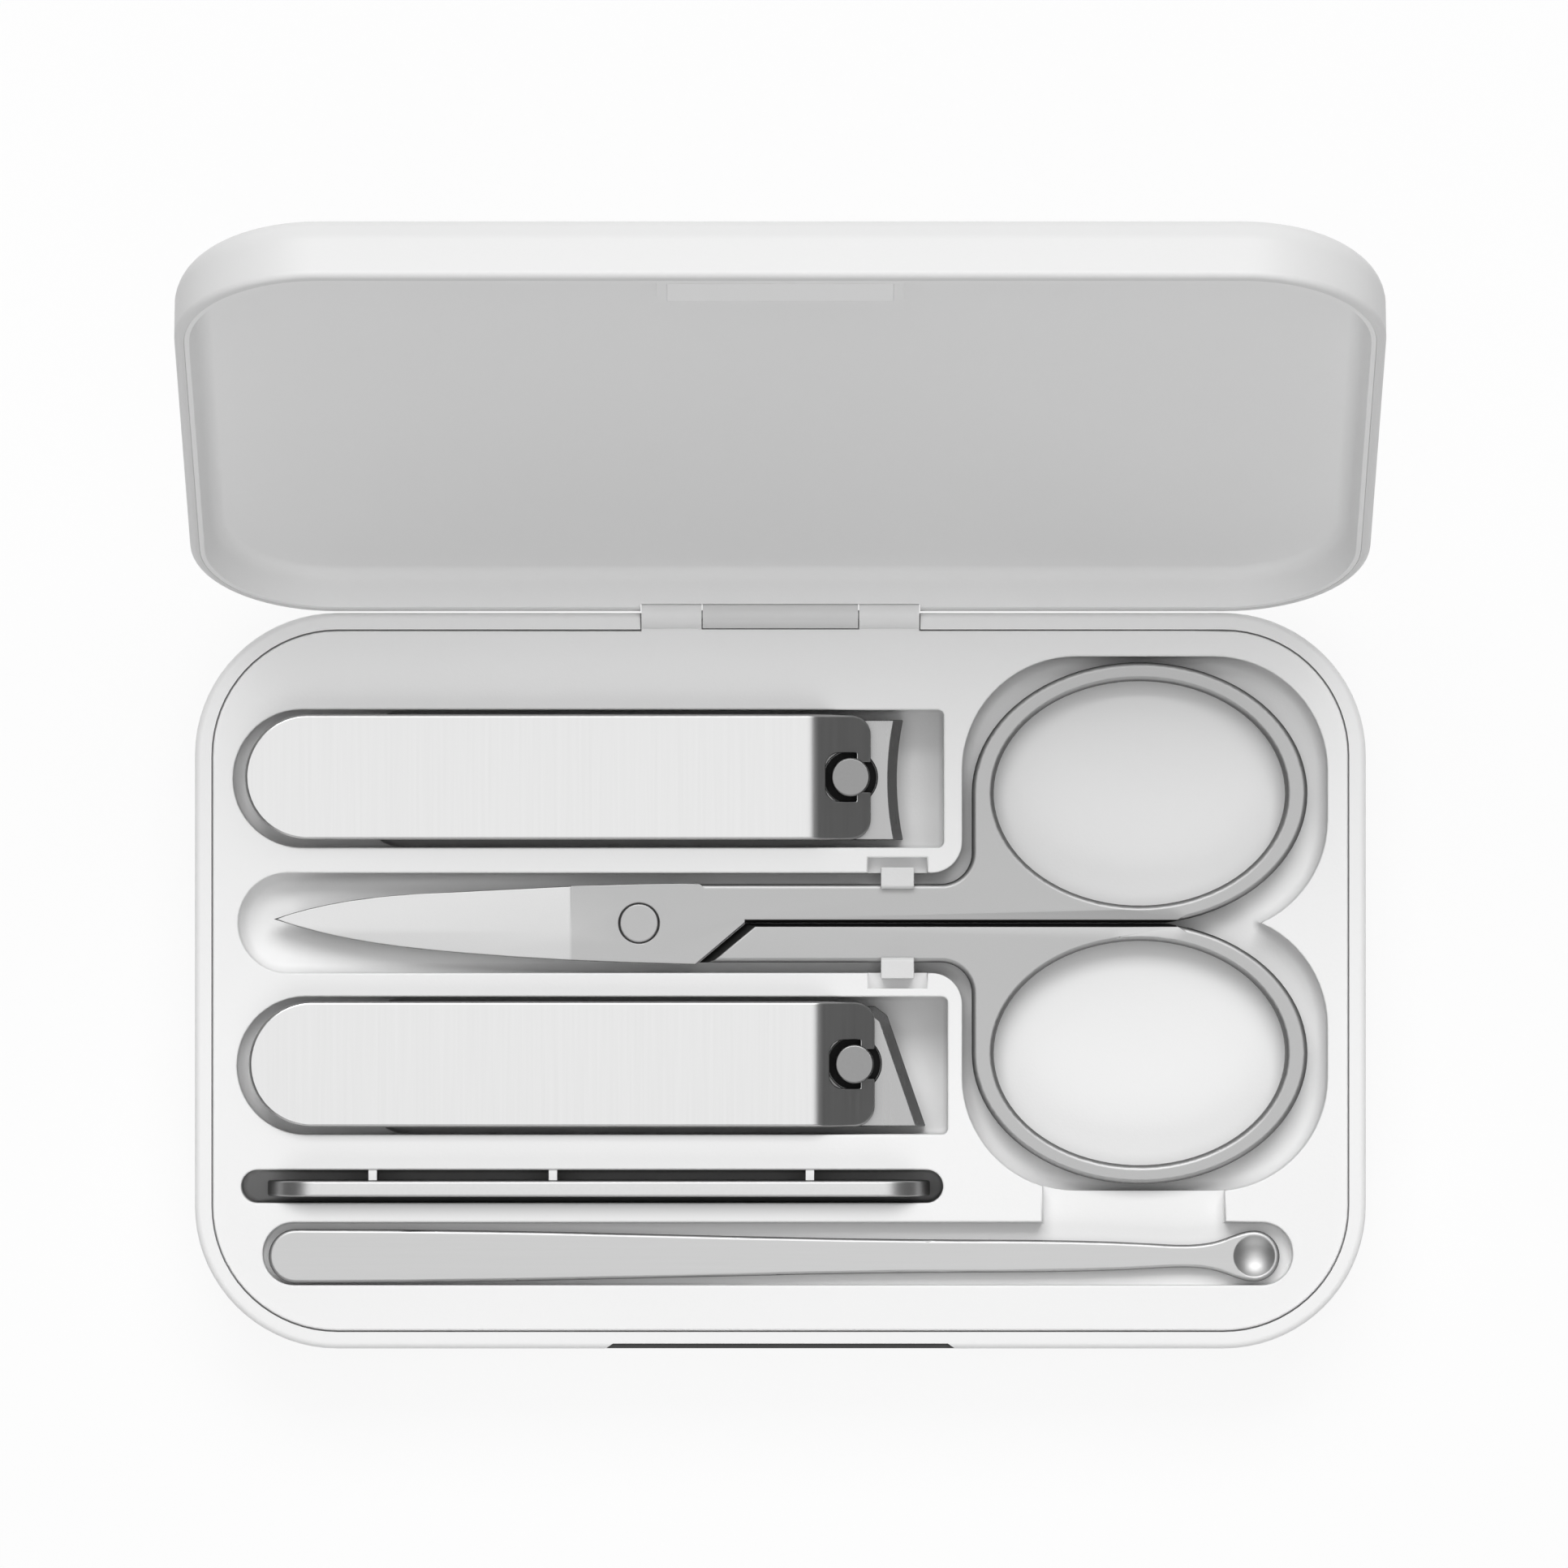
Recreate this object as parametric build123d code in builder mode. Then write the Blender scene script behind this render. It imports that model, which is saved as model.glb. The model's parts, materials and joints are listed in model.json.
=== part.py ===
"""Manicure set case: a hinged plastic case with two nail clippers, scissors, a file and an ear pick.

Millimetres, +Z up. The origin is at the centre of the base's underside, +Y points to the hinge, and the
lid stands open. Every piece is made where it lies: the tools stowed, and the lid on its own tilted frame.
"""

from build123d import *
from math import atan2, cos, degrees, radians, sin, tan
import os

# %% Driving dimensions

# Case
case_length = 113.0
case_depth = 71.0
corner_radius = 13.75
base_height = 12.6
lid_height = 6.9
rim_wall = 1.6
ledge_width = 0.9
shell_floor = 1.6
foot_round = 3.0
rim_round = 0.6
lid_wall = 0.9
lid_top = 1.5
lid_gap = 0.1
cavity_depth = 3.5
lid_draft = 0.8
liner_thickness = 1.0
liner_gap = 0.01
liner_wall = 0.5
liner_round = 1.5
notch_length = 32.3
notch_depth = 0.5
notch_height = 1.5
notch_slope = 35.0

# The layout below is for a case of 113 by 71, and moves in step with another size.
stretch_x = case_length / 113.0
stretch_y = case_depth / 71.0

# Hinge
lid_angle = 115.0
hinge_length = 26.8
knuckle_radius = 1.25
knuckle_gap = 0.1
centre_knuckle = 15.0
hinge_inset = 0.25
hinge_pin_radius = 0.5
pin_clearance = 0.04

# Tray
tray_clearance = 0.15
tray_plate = 1.2
tray_drop = 0.2
cup_wall = 0.9
pocket_round = 0.5
soft_round = 1.0
shallow_depth = 3.0
catch_depth = 2.0
clipper_depth = 8.0
file_depth = 7.0
scissor_depth = 3.8
pick_depth = 2.2

# Magnets
magnet_length = 9.0
magnet_width = 2.0
magnet_height = 1.8
magnet_gap = 1.4
magnet_clearance = 0.1
boss_length = 23.0
boss_inset = 1.7
boss_depth = 4.5
boss_drop = 0.35
boss_lip = 0.5
boss_round = 1.5
cover_thickness = 0.6

# Nail clippers
clipper_width = 12.1
lever_length = 58.4 * stretch_x
lever_thickness = 1.3
lever_lift = 0.15
lever_bend = 3.75
lever_slope = 28.0
lever_reach = 1.95
lever_corner = 2.0
lever_bend_radius = 2.5
lever_edge = 0.3
window_back = 2.42
window_front = 0.6
leaf_thickness = 1.2
leaf_width = 11.6
leaf_tail_width = 9.6
leaf_tail = 46.0 * stretch_x
leaf_gap = 1.7
leaf_shift = -0.25
leaf_crown = 1.3
leaf_bend = 6.0
leaf_rise_start = 5.0
leaf_crown_x = -16.0
leaf_head_x = -7.5
leaf_hole_radius = 2.6
jaw_lip = 0.5
jaw_bevel = 0.9
jaw_lip_width = 1.44
jaw_front = 2.1
rivet_radius = 1.2
rivet_head_radius = 2.1
rivet_head_height = 0.6
rivet_setback = 42.0 * stretch_x
stem_radius = 1.6
neck_radius = 1.3
head_radius = 1.88
head_height = 0.9
head_rise = 0.5
head_round = 0.2
flange_radius = 2.2
flange_height = 0.55
slot_half_width = 2.35
prong_half_gap = 1.45
running_gap = 0.05
hair = 0.01
tail_gap = 0.1
back_pin = (6.77 * stretch_x, 19.65 * stretch_y)
front_pin = (7.15 * stretch_x, -8.05 * stretch_y)

# Scissors
pivot = (-13.65 * stretch_x, 5.55 * stretch_y)
scissor_thickness = 3.2
rivet_disc_radius = 1.9
rivet_disc_height = 0.7
rivet_shaft_radius = 1.3
shank_gap = 0.1
shank_width = 3.75
groove_half = 0.28
groove_depth = 1.5
groove_end = 5.5
slant_width = 0.8
loop_x = 34.7 * stretch_x
loop_offset = 12.55 * stretch_y
loop_half_length = 16.2 * stretch_x
loop_half_width = 12.65 * stretch_y
loop_side = 2.1
loop_crown = 1.8
loop_round = 0.5
ground_depth = 0.4
ground_reach = 4.2
ground_fade = -0.8
ground_start = -20.2 * stretch_x

# Catches
catch_x = 11.3 * stretch_x
catch_width = 3.2
catch_thickness = 0.8
catch_nose = 0.5
catch_recess = 5.7
catch_play = 0.95
catch_inset = 0.25
hook_height = 0.8
hook_gap = 0.15

# File and ear pick
file_length = 64.0 * stretch_x
file_height = 9.2
file_thickness = 1.5
file_centre = (-17.55 * stretch_x, -20.05 * stretch_y)
pick_thickness = 1.6
pick_round = 0.35
pick_inset = 8.9
pick_y = pick_inset - case_depth / 2
pick_tail_radius = 2.6
pick_tail = -49.4 * stretch_x
spoon_x = 45.75 * stretch_x
spoon_radius = 2.45
dish_radius = 2.0
dish_depth = 0.75

# %% Levels and places that follow

rim_z = base_height
tray_z = rim_z - tray_drop
plate_z = tray_z - tray_plate
clipper_floor = tray_z - clipper_depth
scissor_floor = tray_z - scissor_depth
pick_floor = tray_z - pick_depth
file_floor = tray_z - file_depth
shallow_floor = tray_z - shallow_depth
catch_floor = tray_z - catch_depth
rib_height = clipper_floor - cup_wall - shell_floor
notch_fade = 2 * notch_depth / tan(radians(notch_slope))
hinge_y = case_depth / 2 - hinge_inset
hinge_z = rim_z - hinge_inset

os.makedirs("parts", exist_ok=True)


def case_plan(inset):
    """The case's round-cornered outline, moved in from its outside face."""
    RectangleRounded(case_length - 2 * inset, case_depth - 2 * inset, corner_radius - inset)


def write(piece, label):
    """Labels a finished piece and writes it under that name."""
    piece.part.label = label
    export_step(piece.part, f"parts/{label}.step")


# %% Base shell: a tub with a ledge for the tray, ribs under the tray's cups and a shelf for the magnets

tub_inset = rim_wall + ledge_width
shelf_y = -case_depth / 2 + tub_inset + magnet_clearance
base_magnet_top = plate_z - magnet_clearance
shelf_z = base_magnet_top - magnet_height
knuckle_end = hinge_length / 2
knuckle_relief = 0.75 * knuckle_radius
knuckle_side = (hinge_length - centre_knuckle) / 2 - knuckle_gap
rib_places = (-38.0 * stretch_x, -12.0 * stretch_x, 10.0 * stretch_x)
rib_thickness = 1.2

with BuildPart() as base_shell:
    with BuildSketch(Plane.XY):
        case_plan(0)
    extrude(amount=base_height)
    fillet(base_shell.faces().sort_by(Axis.Z)[0].edges(), foot_round)
    fillet(base_shell.faces().sort_by(Axis.Z)[-1].edges(), rim_round)
    with BuildSketch(Plane.XY.offset(plate_z)):
        case_plan(rim_wall)
    extrude(amount=base_height, mode=Mode.SUBTRACT)
    with BuildSketch(Plane.XY.offset(shell_floor)):
        case_plan(tub_inset)
    extrude(amount=base_height, mode=Mode.SUBTRACT)
    # Ribs from side to side, up to the underside of the clippers' cups.
    with BuildSketch(Plane.XY.offset(shell_floor)):
        with Locations(*[(x, 0) for x in rib_places]):
            Rectangle(rib_thickness, case_depth - 2 * tub_inset)
    extrude(amount=rib_height)
    # The magnets' shelf, with an end stop beside each magnet.
    with BuildSketch(Plane.XY.offset(shell_floor)):
        with Locations((0, shelf_y - 2 * magnet_clearance)):
            Rectangle(boss_length, magnet_width + 4 * magnet_clearance, align=(Align.CENTER, Align.MIN))
    extrude(amount=shelf_z - shell_floor)
    # Hinge zone: slits part the hinge block from the rim, and the block's top is level with the tray.
    with BuildSketch(Plane.XY.offset(tray_z)):
        with Locations((0, case_depth / 2)):
            Rectangle(hinge_length, 2 * rim_wall, align=(Align.CENTER, Align.CENTER))
    extrude(amount=base_height, mode=Mode.SUBTRACT)
    for side in (-1, 1):
        with BuildSketch(Plane.XY.offset(hinge_z - knuckle_radius)):
            with Locations((side * (knuckle_end + knuckle_gap / 2), case_depth / 2)):
                Rectangle(knuckle_gap, 2 * rim_wall)
        extrude(amount=base_height, mode=Mode.SUBTRACT)
    # Outer knuckles, and the room that the lid's centre knuckle turns in.
    for side in (-1, 1):
        middle = side * (knuckle_end - knuckle_side / 2)
        with BuildSketch(Plane.YZ.offset(middle - knuckle_side / 2)):
            with Locations((hinge_y, hinge_z)):
                Circle(knuckle_radius)
        extrude(amount=knuckle_side)
    with BuildSketch(Plane.YZ.offset(-centre_knuckle / 2 - knuckle_gap)):
        with Locations((hinge_y, hinge_z)):
            Circle(knuckle_radius + knuckle_gap)
        with Locations((hinge_y, hinge_z - knuckle_relief)):
            Rectangle(2 * case_depth, base_height, align=(Align.MAX, Align.MIN))
        with Locations((case_depth / 2 - rim_wall, 0)):
            Rectangle(case_depth, 3 * base_height, align=(Align.MAX, Align.MIN), mode=Mode.SUBTRACT)
    extrude(amount=centre_knuckle + 2 * knuckle_gap, mode=Mode.SUBTRACT)
    with BuildSketch(Plane.YZ.offset(-knuckle_end)):
        with Locations((hinge_y, hinge_z)):
            Circle(hinge_pin_radius + pin_clearance)
    extrude(amount=hinge_length, mode=Mode.SUBTRACT)
    # Finger notch along the front edge.
    with BuildSketch(Plane.XY.offset(rim_z - notch_height)):
        with Locations((0, -case_depth / 2)):
            Trapezoid(notch_length + 2 * notch_fade, 2 * notch_depth, notch_slope)
    extrude(amount=2 * notch_height, mode=Mode.SUBTRACT)
write(base_shell, "base_shell")

with BuildPart() as base_magnets:
    with BuildSketch(Plane.XY.offset(shelf_z)):
        with GridLocations(magnet_length + magnet_gap, 0, 2, 1):
            with Locations((0, shelf_y)):
                Rectangle(magnet_length, magnet_width, align=(Align.CENTER, Align.MIN))
    extrude(amount=magnet_height)
write(base_magnets, "base_magnets")

with BuildPart() as hinge_pin:
    with BuildSketch(Plane.YZ.offset(-knuckle_end)):
        with Locations((hinge_y, hinge_z)):
            Circle(hinge_pin_radius)
    extrude(amount=hinge_length)
write(hinge_pin, "hinge_pin")


# %% Tray insert: a thin plate with a cup hanging from it under each pocket

pocket_left = 59.6 * stretch_x
deep_left = 47.2 * stretch_x
deep_round = 4.0
pocket_right = 9.0
pocket_width = 13.3
pocket_shift = -0.15
pocket_jaw_corner = 0.6
slot_length = 67.75 * stretch_x
slot_width = 3.2
slot_centre = (-18.17 * stretch_x, -19.85 * stretch_y)
file_ribs = (-39.35 * stretch_x, -21.95 * stretch_x, 2.85 * stretch_x)
file_rib_width = 0.8
channel_left = -52.35 * stretch_x
channel_half = 4.825
channel_middle = 5.575 * stretch_y
lobe_left = 17.55 * stretch_x
lobe_right = 52.8 * stretch_x
lobe_low = -20.3 * stretch_y
lobe_high = 31.3 * stretch_y
lobe_overlap = 1.0
lobe_radius = 11.0
shoulder_radius = 3.0
pick_pocket_left = -49.95 * stretch_x
pick_pocket_right = 49.45 * stretch_x
pick_pocket_width = 6.1
pick_pocket_y = pick_y + 0.25
recess_left = 25.3 * stretch_x
recess_right = 42.9 * stretch_x
recess_reach = 2.5
catch_sides = (1, -1)


def clipper_pocket(pin, left, end_round):
    """Outline of a clipper's pocket, which reaches left of the pin to a rounded end and is square at the jaws."""
    x, y = pin
    with BuildSketch() as outline:
        with Locations((x - left, y + pocket_shift)):
            Rectangle(left + pocket_right, pocket_width, align=(Align.MIN, Align.CENTER))
        fillet(outline.vertices().group_by(Axis.X)[0], end_round)
        fillet(outline.vertices().group_by(Axis.X)[-1], pocket_jaw_corner)
    return outline.sketch


with BuildSketch() as scissor_pocket:
    with Locations((channel_left, channel_middle)):
        Rectangle(loop_x - channel_left, 2 * channel_half, align=(Align.MIN, Align.CENTER))
    fillet(scissor_pocket.vertices().group_by(Axis.X)[0], channel_half - hair)
    for start, end in ((lobe_low, channel_middle + lobe_overlap), (channel_middle - lobe_overlap, lobe_high)):
        with Locations(((lobe_left + lobe_right) / 2, (start + end) / 2)):
            RectangleRounded(lobe_right - lobe_left, end - start, lobe_radius)
    with Locations((lobe_left, channel_middle)):
        Rectangle(loop_x - lobe_left, (lobe_high - lobe_low) / 2, align=(Align.MIN, Align.CENTER))
    shoulders = scissor_pocket.vertices().filter_by_position(Axis.X, lobe_left - hair, lobe_left + hair)
    by_channel = shoulders.filter_by(lambda point: abs(point.Y - channel_middle) < channel_half + hair)
    fillet(by_channel, shoulder_radius)

with BuildSketch() as catch_pockets:
    for side in catch_sides:
        near = channel_middle + side * (channel_half - pocket_round)
        far = channel_middle + side * (channel_half - catch_inset + catch_thickness + catch_play)
        with Locations((catch_x, (near + far) / 2)):
            Rectangle(catch_recess, abs(far - near))

with BuildSketch() as file_slot:
    with Locations(slot_centre):
        SlotOverall(slot_length, slot_width)

with BuildSketch() as pick_pocket:
    with Locations(((pick_pocket_left + pick_pocket_right) / 2, pick_pocket_y)):
        pick_pocket_length = pick_pocket_right - pick_pocket_left
        RectangleRounded(pick_pocket_length, pick_pocket_width, pick_pocket_width / 2 - 5 * hair)
    # Finger room between the ear pick and the lower finger loop.
    with Locations(((recess_left + recess_right) / 2, pick_pocket_y)):
        recess_width = lobe_low + recess_reach - pick_pocket_y
        Rectangle(recess_right - recess_left, recess_width, align=(Align.CENTER, Align.MIN))

# Each pocket: its outline, the level of its floor, and the rounding where the floor meets the walls.
pockets = [
    (clipper_pocket(back_pin, pocket_left, pocket_width / 2 - hair), shallow_floor, soft_round),
    (clipper_pocket(front_pin, pocket_left, pocket_width / 2 - hair), shallow_floor, soft_round),
    (clipper_pocket(back_pin, deep_left, deep_round), clipper_floor, pocket_round),
    (clipper_pocket(front_pin, deep_left, deep_round), clipper_floor, pocket_round),
    (scissor_pocket.sketch, scissor_floor, soft_round),
    (catch_pockets.sketch, catch_floor, 0),
    (file_slot.sketch, file_floor, pocket_round),
    (pick_pocket.sketch, pick_floor, pocket_round / 2),
]


def pocket_cutter(outline, floor, rounding):
    """The room inside one pocket, from its floor to above the tray."""
    with BuildPart() as room:
        with BuildSketch(Plane.XY.offset(floor)):
            add(outline)
        extrude(amount=base_height - floor + 1)
        if rounding:
            fillet(room.faces().sort_by(Axis.Z)[0].edges(), rounding)
    return room.part


rooms = [pocket_cutter(*pocket) for pocket in pockets]
tray_inset = rim_wall + tray_clearance
rib_y = file_centre[1] + file_thickness / 2 + running_gap
rib_depth = slot_centre[1] + slot_width / 2 + cup_wall / 2 - rib_y

with BuildPart() as tray_insert:
    with BuildSketch(Plane.XY.offset(plate_z)):
        case_plan(tray_inset)
        with Locations((0, case_depth / 2 - rim_wall)):
            Rectangle(hinge_length, 2 * tray_clearance, align=(Align.CENTER, Align.MAX))
    extrude(amount=tray_plate)
    for outline, floor, rounding in pockets:
        with BuildSketch(Plane.XY.offset(floor - cup_wall)):
            add(outline)
            offset(amount=cup_wall, kind=Kind.ARC)
        extrude(amount=plate_z + tray_plate / 2 - floor + cup_wall)
    for room in rooms:
        add(room, mode=Mode.SUBTRACT)
    # Small ribs on the file slot's back wall, just clear of the file.
    with BuildSketch(Plane.XY.offset(file_floor - cup_wall / 2)):
        with Locations(*[(x, rib_y) for x in file_ribs]):
            Rectangle(file_rib_width, rib_depth, align=(Align.CENTER, Align.MIN))
    extrude(amount=file_depth - tray_drop + cup_wall / 2)
write(tray_insert, "tray_insert")


# %% Lid: modelled on its own frame, whose origin is on the hinge axis and whose +Z is the lid's top

lid_frame = Plane(
    origin=(0, hinge_y, hinge_z),
    x_dir=(1, 0, 0),
    z_dir=(0, sin(radians(lid_angle)), cos(radians(lid_angle))),
)
lid_up = Axis(lid_frame.origin, lid_frame.z_dir)
lid_rim = hinge_inset + lid_gap
lid_middle = (0, -hinge_y)
liner_level = lid_rim + cavity_depth
lid_ceiling = lid_rim + lid_height - lid_top
lid_front = -hinge_y - case_depth / 2
liner_inset = lid_wall + liner_gap
cavity_inset = liner_inset + liner_wall
glue_rib_length = case_length - 2 * cavity_inset - 2 * corner_radius


def lid_sketch(level):
    """A sketch plane across the lid, at a height above the hinge axis."""
    return BuildSketch(lid_frame.offset(level))


with BuildPart() as lid_shell:
    with lid_sketch(lid_rim):
        with Locations(lid_middle):
            case_plan(0)
    extrude(amount=lid_height)
    fillet(lid_shell.faces().sort_by(lid_up)[-1].edges(), foot_round)
    fillet(lid_shell.faces().sort_by(lid_up)[0].edges(), rim_round)
    with lid_sketch(lid_rim):
        with Locations(lid_middle):
            case_plan(lid_wall)
    extrude(amount=lid_ceiling - lid_rim, mode=Mode.SUBTRACT)
    # Two long ribs that the liner is glued to.
    with lid_sketch(liner_level + liner_thickness):
        with Locations(lid_middle):
            with GridLocations(0, case_depth / 2, 1, 2):
                Rectangle(glue_rib_length, rib_thickness)
    extrude(amount=lid_ceiling - liner_level - liner_thickness)
    # Room for the base's knuckles, then the lid's own knuckle and the pin's bore.
    for side in (-1, 1):
        start = side * (centre_knuckle / 2 + knuckle_end + knuckle_gap) / 2 - knuckle_side / 2 - knuckle_gap
        with BuildSketch(Plane(lid_frame.origin + Vector(start, 0, 0), z_dir=(1, 0, 0))):
            Circle(knuckle_radius + knuckle_gap)
        extrude(amount=knuckle_side + 2 * knuckle_gap, mode=Mode.SUBTRACT)
    with BuildSketch(Plane(lid_frame.origin - Vector(centre_knuckle / 2, 0, 0), z_dir=(1, 0, 0))):
        Circle(knuckle_radius)
    extrude(amount=centre_knuckle)
    with BuildSketch(Plane(lid_frame.origin - Vector(knuckle_end, 0, 0), z_dir=(1, 0, 0))):
        Circle(hinge_pin_radius + pin_clearance)
    extrude(amount=hinge_length, mode=Mode.SUBTRACT)
write(lid_shell, "lid_shell")

with BuildPart() as lid_cavity:
    with lid_sketch(lid_rim):
        with Locations(lid_middle):
            case_plan(cavity_inset)
    extrude(amount=cavity_depth, taper=degrees(atan2(lid_draft, cavity_depth)))
    fillet(lid_cavity.faces().sort_by(lid_up)[-1].edges(), liner_round)

with BuildPart() as lid_liner:
    with lid_sketch(lid_rim):
        with Locations(lid_middle):
            case_plan(liner_inset)
    extrude(amount=cavity_depth + liner_thickness)
    add(lid_cavity.part, mode=Mode.SUBTRACT)
    # Magnet housing at the middle of the front wall.
    with lid_sketch(lid_rim + boss_drop):
        with Locations((0, lid_front + liner_inset + liner_wall / 2)):
            boss_reach = boss_inset + boss_depth - liner_inset - liner_wall / 2
            Rectangle(boss_length, boss_reach, align=(Align.CENTER, Align.MIN))
    extrude(amount=cavity_depth - boss_drop + liner_thickness / 2)
    upright = lid_liner.edges().filter_by(lid_up)
    fillet(upright.filter_by(lambda edge: abs(abs(edge.center().X) - boss_length / 2) < hair), boss_round)
    with lid_sketch(lid_rim + boss_drop):
        with Locations((0, lid_front + boss_inset + boss_lip)):
            Rectangle(boss_length - 4 * boss_lip, boss_depth - 2 * boss_lip, align=(Align.CENTER, Align.MIN))
    extrude(amount=cavity_depth - boss_drop - boss_lip, mode=Mode.SUBTRACT)
    # Room for the knuckles.
    with BuildSketch(Plane(lid_frame.origin - Vector(knuckle_end + knuckle_gap, 0, 0), z_dir=(1, 0, 0))):
        Circle(knuckle_radius + knuckle_gap)
    extrude(amount=hinge_length + 2 * knuckle_gap, mode=Mode.SUBTRACT)
write(lid_liner, "lid_liner")

cover_depth = boss_depth - 2 * boss_lip
with BuildPart() as lid_magnets:
    with lid_sketch(lid_rim + boss_drop + cover_thickness + magnet_clearance):
        with Locations((0, lid_front + boss_inset + boss_lip + cover_depth / 2)):
            with GridLocations(magnet_length + magnet_gap, 0, 2, 1):
                Rectangle(magnet_length, magnet_width)
    extrude(amount=magnet_height)
write(lid_magnets, "lid_magnets")

with BuildPart() as lid_magnet_cover:
    with lid_sketch(lid_rim + boss_drop):
        with Locations((0, lid_front + boss_inset + boss_lip + cover_depth / 2)):
            Rectangle(boss_length - 4 * boss_lip - 2 * liner_gap, cover_depth - 2 * liner_gap)
    extrude(amount=cover_thickness)
write(lid_magnet_cover, "lid_magnet_cover")


# %% Nail clippers: two leaves riveted at the tail, a headed pin through the jaws, and a lever on the pin

lever_low = tray_z + lever_lift
slope_rise = lever_bend * tan(radians(lever_slope))
pin_axis_z = lever_low + lever_thickness / 2 - slope_rise
lower_top = clipper_floor + leaf_thickness
upper_low = lower_top + leaf_gap
upper_top = upper_low + leaf_thickness
tail_low = lower_top + tail_gap
half_leaf = leaf_width / 2

# Jaw ends, counted from the pin: one straight across and hollowed, one slanted.
straight_jaw = ((-9.0, half_leaf), (5.1, half_leaf), (4.5, 0.0), (5.1, -half_leaf))
slanted_jaw = ((-9.0, half_leaf), (2.0, half_leaf), (3.2, 4.9), (6.9, -half_leaf))


def jaw_outline(pin, jaw):
    """Outline of a clipper's head. Its front edge is an arc where the third point is on the middle line."""
    x, y = pin[0], pin[1] + leaf_shift
    points = [(x + dx, y + dy) for dx, dy in jaw]
    start, side, middle, end = points
    tail = (start[0], end[1])
    with BuildSketch() as head:
        with BuildLine():
            Line(start, side)
            if jaw[2][1] == 0:
                ThreePointArc(side, middle, end)
            else:
                Polyline(side, middle, end)
            Polyline(end, tail, start)
        make_face()
    return head.sketch


def leaf_outline(pin, head):
    """Outline of a whole leaf: a round-ended tail that widens into the head."""
    x, y = pin[0], pin[1] + leaf_shift
    with BuildSketch() as leaf:
        with Locations((x - leaf_tail, y)):
            Rectangle(leaf_tail, leaf_tail_width, align=(Align.MIN, Align.CENTER))
        fillet(leaf.vertices().group_by(Axis.X)[0], leaf_tail_width / 2 - hair)
        add(head)
    return leaf.sketch


def side_plane(y):
    """A plane seen from the front: its own +X is the case's +X and its own +Y is up."""
    return Plane(origin=(0, y, 0), x_dir=(1, 0, 0), z_dir=(0, -1, 0))


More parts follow.
